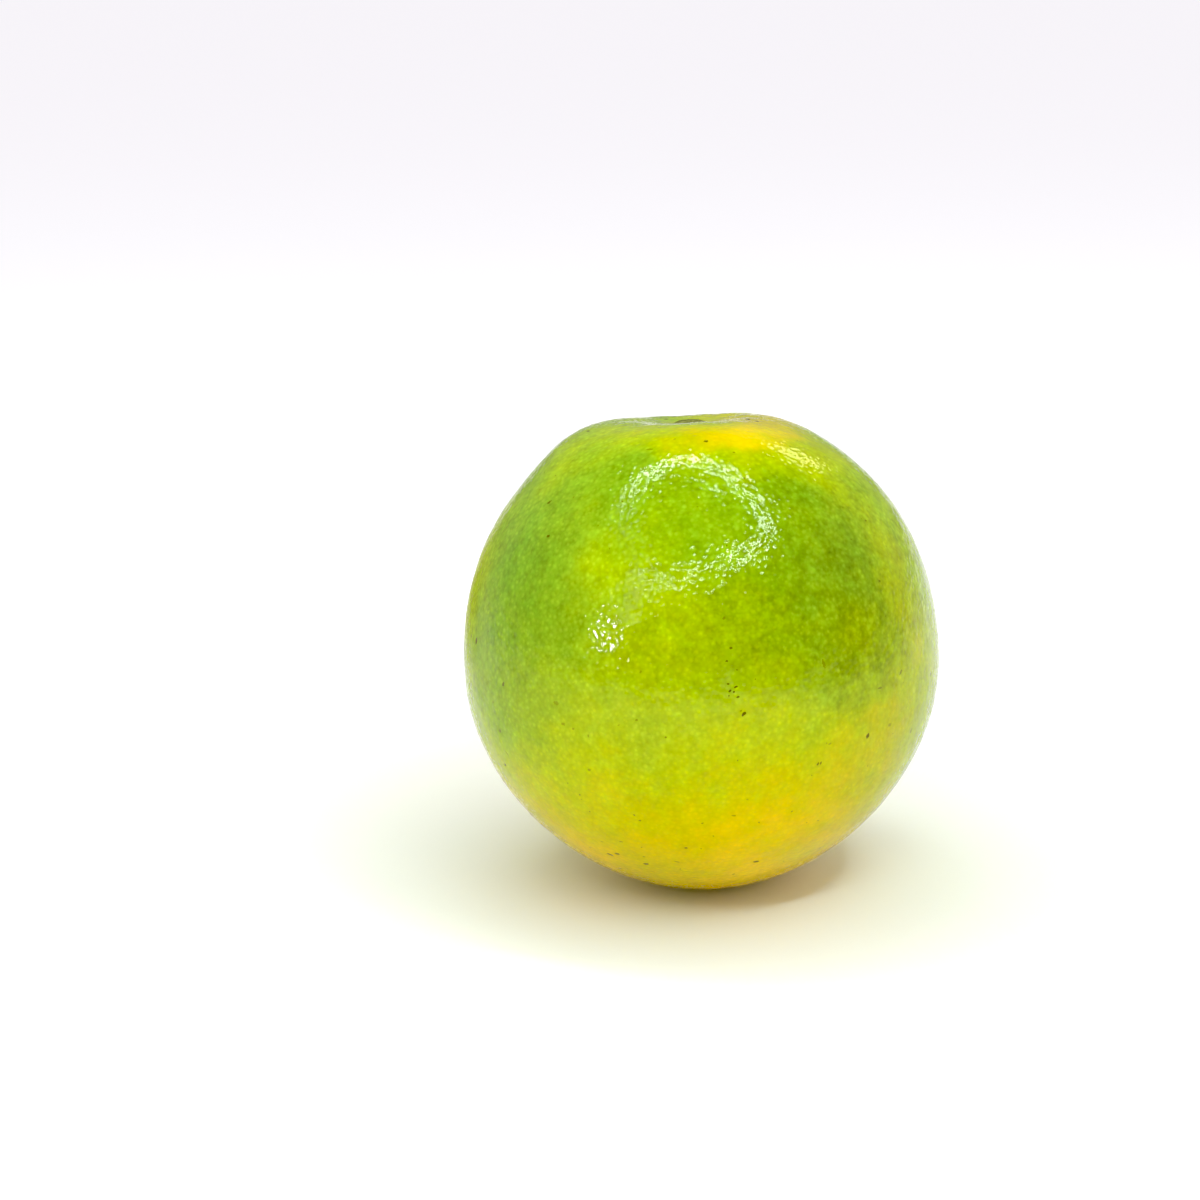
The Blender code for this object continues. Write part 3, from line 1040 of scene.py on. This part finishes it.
# Floor
FLOOR_HALF = 4.0
FLOOR_WHITE = (0.86, 0.80, 0.90, 1)
FLOOR_ROUGHNESS = 0.9
FLOOR_SPECULAR = 0.1
# Painted light on the floor: its glow by distance from the rest spot, in metres, with its colour; none at the
# fruit, which paints the shadow round it, whiter and stronger away
FLOOR_PAINTED_LIGHT_REACH = 0.30
FLOOR_PAINTED_LIGHT_STOPS = [
    (0.006, (0.0, 0.0, 0.0)),
    (0.028, (0.15, 0.16, 0.12)),
    (0.060, (0.24, 0.25, 0.21)),
    (0.130, (0.40, 0.40, 0.39)),
    (0.300, (0.56, 0.56, 0.56)),
]


def floor_material():
    """Pale paper with painted light, which glows a little more away from the fruit; the weaker glow near the
    fruit paints a shadow round it.
    """
    material = bpy.data.materials.new("floor_paper_painted_light")
    nodes = Nodes(material)
    away = nodes.length(nodes.add("ShaderNodeTexCoord").outputs["Object"])
    stops = [(reach / FLOOR_PAINTED_LIGHT_REACH, colour) for reach, colour in FLOOR_PAINTED_LIGHT_STOPS]
    # painted light: the floor glows less near the fruit, which paints the shadow round it
    glow = colour_ramp(nodes, nodes.math("DIVIDE", away, FLOOR_PAINTED_LIGHT_REACH), stops)
    shader = nodes.add("ShaderNodeBsdfPrincipled", None, Base_Color=FLOOR_WHITE,
                       Roughness=FLOOR_ROUGHNESS, Specular_IOR_Level=FLOOR_SPECULAR,
                       Emission_Color=glow, Emission_Strength=1.0)
    nodes.surface(shader)
    return material


def make_floor():
    """Large plain pale floor."""
    signs = [(-1, -1), (1, -1), (1, 1), (-1, 1)]
    corners = [(x * FLOOR_HALF, y * FLOOR_HALF, 0) for x, y in signs]
    mesh = bpy.data.meshes.new("floor")
    mesh.from_pydata(corners, [], [(0, 1, 2, 3)])
    mesh.materials.append(floor_material())
    floor = add_object("floor", mesh)


# Lamps
# Ring lamp's middle line: sideways and away from the viewer in metres, and its brightness there
RING_KNOTS = [
    (-0.25, 0.00, 0.55),
    (-0.18, 0.065, 0.95),
    (-0.07, 0.075, 1.0),
    (0.07, 0.020, 0.85),
    (0.18, -0.035, 0.85),
    (0.262, -0.13, 1.1),
    (0.278, -0.25, 1.3),
    (0.185, -0.365, 1.4),
    (0.02, -0.47, 1.35),
    (-0.16, -0.57, 1.15),
    (-0.29, -0.54, 0.65),
    (-0.32, -0.34, 0.12),
    (-0.30, -0.15, 0.15),
]
RING_STEPS = 6
RING_ABOVE = 0.5
RING_BAND = 0.026
RING_POWER = 30.0
RING_COLOUR = (0.84, 1.0, 0.80, 1)
# Small lamps far away: degrees round from +Y towards +X, degrees up, width and height in degrees,
# colour and power
SIDE_LAMPS = {
    "small_window": ((-133.5, 16.0), (3.0, 4.6), (1.0, 1.0, 1.0, 1), 90.0),
    "window_glow": ((-144.0, 32.0), (10.0, 20.0), (0.95, 1.0, 0.75, 1), 3.4),
    "back_panel": ((33.0, 37.0), (9.0, 11.0), (1.0, 0.97, 0.45, 1), 6.0),
}
LAMP_DISTANCE = 1.2


def closed_curve(knots, steps):
    """Smooth closed curve through rows of knots, by cubics, with steps points for each knot."""
    count = len(knots)
    rows = []
    for index in range(count):
        before, here, after, later = (knots[(index + k) % count] for k in (-1, 0, 1, 2))
        for t in np.arange(steps) / steps:
            rows.append(0.5 * (2 * here + (after - before) * t
                               + (2 * before - 5 * here + 4 * after - later) * t**2
                               + (3 * here - before - 3 * after + later) * t**3))
    return np.array(rows)


def glow_material(name, colour, power):
    """Light giving surface whose brightness follows the mesh's glow values."""
    material = bpy.data.materials.new(name)
    nodes = Nodes(material)
    strength = nodes.math("MULTIPLY", nodes.value("glow"), power)
    nodes.surface(nodes.add("ShaderNodeEmission", None, Color=colour, Strength=strength))
    return material


def add_lamp(name, rows, colour, power, lights=True):
    """Glowing band between pairs of points; rows hold two points and a glow value."""
    bm = bmesh.new()
    glow_layer = bm.verts.layers.float.new("glow")
    pairs = []
    for first, second, glow in rows:
        pair = [bm.verts.new(first), bm.verts.new(second)]
        for vert in pair:
            vert[glow_layer] = glow
        pairs.append(pair)
    for one, two in zip(pairs, pairs[1:]):
        bm.faces.new((one[0], two[0], two[1], one[1]))
    lamp = bmesh_object(name, bm)
    lamp.data.materials.append(glow_material(name, colour, power))
    lamp.visible_camera = False
    lamp.visible_diffuse = lights


def make_ring_lamp():
    """Bent ring lamp above the fruit, a flat glowing band that is weak on its left side."""
    rows = closed_curve(np.array(RING_KNOTS), RING_STEPS)
    path = rows[:, :2]
    ahead = np.roll(path, -1, axis=0) - np.roll(path, 1, axis=0)
    across = np.stack([-ahead[:, 1], ahead[:, 0]], axis=1) / np.linalg.norm(ahead, axis=1, keepdims=True)
    height = MIDDLE.z + RING_ABOVE
    band = []
    for index in [*range(len(rows)), 0]:
        centre = path[index]
        side = across[index] * RING_BAND / 2
        glow = max(0.0, rows[index, 2])
        band.append(((*(centre - side), height), (*(centre + side), height), glow))
    add_lamp("ring_lamp", band, RING_COLOUR, RING_POWER)


def make_side_lamps():
    """Small flat lamps that face the fruit and show only in its gloss."""
    for name, ((around, up), (wide, high), colour, power) in SIDE_LAMPS.items():
        turn = math.radians(around)
        rise = math.radians(up)
        toward = Vector((math.sin(turn) * math.cos(rise), math.cos(turn) * math.cos(rise), math.sin(rise)))
        side, lift = tangent_axes(toward)
        centre = MIDDLE + toward * LAMP_DISTANCE
        half_wide = side * math.tan(math.radians(wide / 2)) * LAMP_DISTANCE
        half_high = lift * math.tan(math.radians(high / 2)) * LAMP_DISTANCE
        rows = [(centre - half_wide - half_high, centre - half_wide + half_high, 1.0),
                (centre + half_wide - half_high, centre + half_wide + half_high, 1.0)]
        add_lamp(name, rows, colour, power, lights=False)


# Gold card: it fades out from a share of its radius on, and down to the floor
GOLD_CARD_MIDDLE = Vector((-0.075, 0.070, 0.030))
GOLD_CARD_HALF = 0.055
GOLD_CARD_SIDES = 48
GOLD_CARD_CORE = 0.15
GOLD_CARD_GLOW = (0.66, 0.62, 0.17, 1)


def gold_card_material():
    """Golden glow that fades out towards the card's edge and the floor."""
    material = bpy.data.materials.new("gold_card")
    nodes = Nodes(material)
    place = nodes.add("ShaderNodeNewGeometry").outputs["Position"]
    ends = {"0": place, "1": GOLD_CARD_MIDDLE}
    apart = nodes.add("ShaderNodeVectorMath", {"operation": "DISTANCE"}, **ends)
    glow = nodes.add("ShaderNodeEmission", None, Color=GOLD_CARD_GLOW, Strength=1.0)
    clear = nodes.add("ShaderNodeBsdfTransparent")
    core = GOLD_CARD_CORE * GOLD_CARD_HALF
    fade = nodes.ramp(apart.outputs["Value"], core, GOLD_CARD_HALF, 0.0, 1.0)
    low = nodes.ramp(nodes.parts(place)[2], 0.0, GOLD_CARD_MIDDLE.z, 1.0, 0.0)
    fade = nodes.math("MAXIMUM", fade, low)
    both = {"1": glow.outputs[0], "2": clear.outputs[0]}
    nodes.surface(nodes.add("ShaderNodeMixShader", None, Fac=fade, **both))
    return material


def make_gold_card():
    """Upright round reflector card behind the fruit on the left, out of the camera's sight."""
    bm = bmesh.new()
    bmesh.ops.create_circle(bm, cap_ends=True, segments=GOLD_CARD_SIDES, radius=GOLD_CARD_HALF)
    facing = (MIDDLE - GOLD_CARD_MIDDLE).to_track_quat("Z", "Y").to_matrix().to_4x4()
    bmesh.ops.transform(bm, matrix=Matrix.Translation(GOLD_CARD_MIDDLE) @ facing, verts=bm.verts)
    card = bmesh_object("gold_card", bm)
    card.data.materials.append(gold_card_material())
    card.visible_camera = False
    card.visible_shadow = False


# Studio light: its strength in front and behind, and from the sides, by how far sideways it comes from
WORLD_DIM = 0.35
WORLD_SIDES = 0.7
SIDES_RANGE = (0.45, 0.85)
# Strength of the white that the camera sees, and the blue taken out by the display tone
BACKDROP = 1.1
BLUE_CUT = 0.033


def make_world():
    """White studio: plain white behind the object, with more light from the two sides."""
    world = bpy.data.worlds.new("studio")
    bpy.context.scene.world = world
    nodes = Nodes(world)
    direction = nodes.add("ShaderNodeTexCoord").outputs["Generated"]
    sideways = nodes.math("ABSOLUTE", nodes.parts(direction)[0])
    strength = nodes.ramp(sideways, *SIDES_RANGE, WORLD_DIM, WORLD_SIDES)
    seen = nodes.add("ShaderNodeLightPath").outputs["Is Camera Ray"]
    strength = nodes.math("MAXIMUM", strength, nodes.math("MULTIPLY", seen, BACKDROP))
    light = nodes.add("ShaderNodeBackground", None, Color=(1, 1, 1, 1), Strength=strength)
    nodes.add("ShaderNodeOutputWorld", None, Surface=light.outputs[0])


def set_tone():
    """Plain display tone with slightly less blue, which makes the shadows and greens warmer."""
    view = bpy.context.scene.view_settings
    view.view_transform = "Standard"
    view.look = "None"
    view.use_curve_mapping = True
    view.curve_mapping.black_level = (0, 0, BLUE_CUT)
    view.curve_mapping.update()


def build():
    """Makes the whole scene."""
    camera = make_camera()
    bpy.context.view_layer.update()
    tree = skin_tree(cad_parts["fruit"])
    peel = make_peel(tree, camera)
    peel.data.materials.append(peel_material())
    calyx = make_calyx()
    calyx.data.materials.append(calyx_material())
    make_floor()
    make_ring_lamp()
    make_side_lamps()
    make_gold_card()
    make_world()
    set_tone()


build()
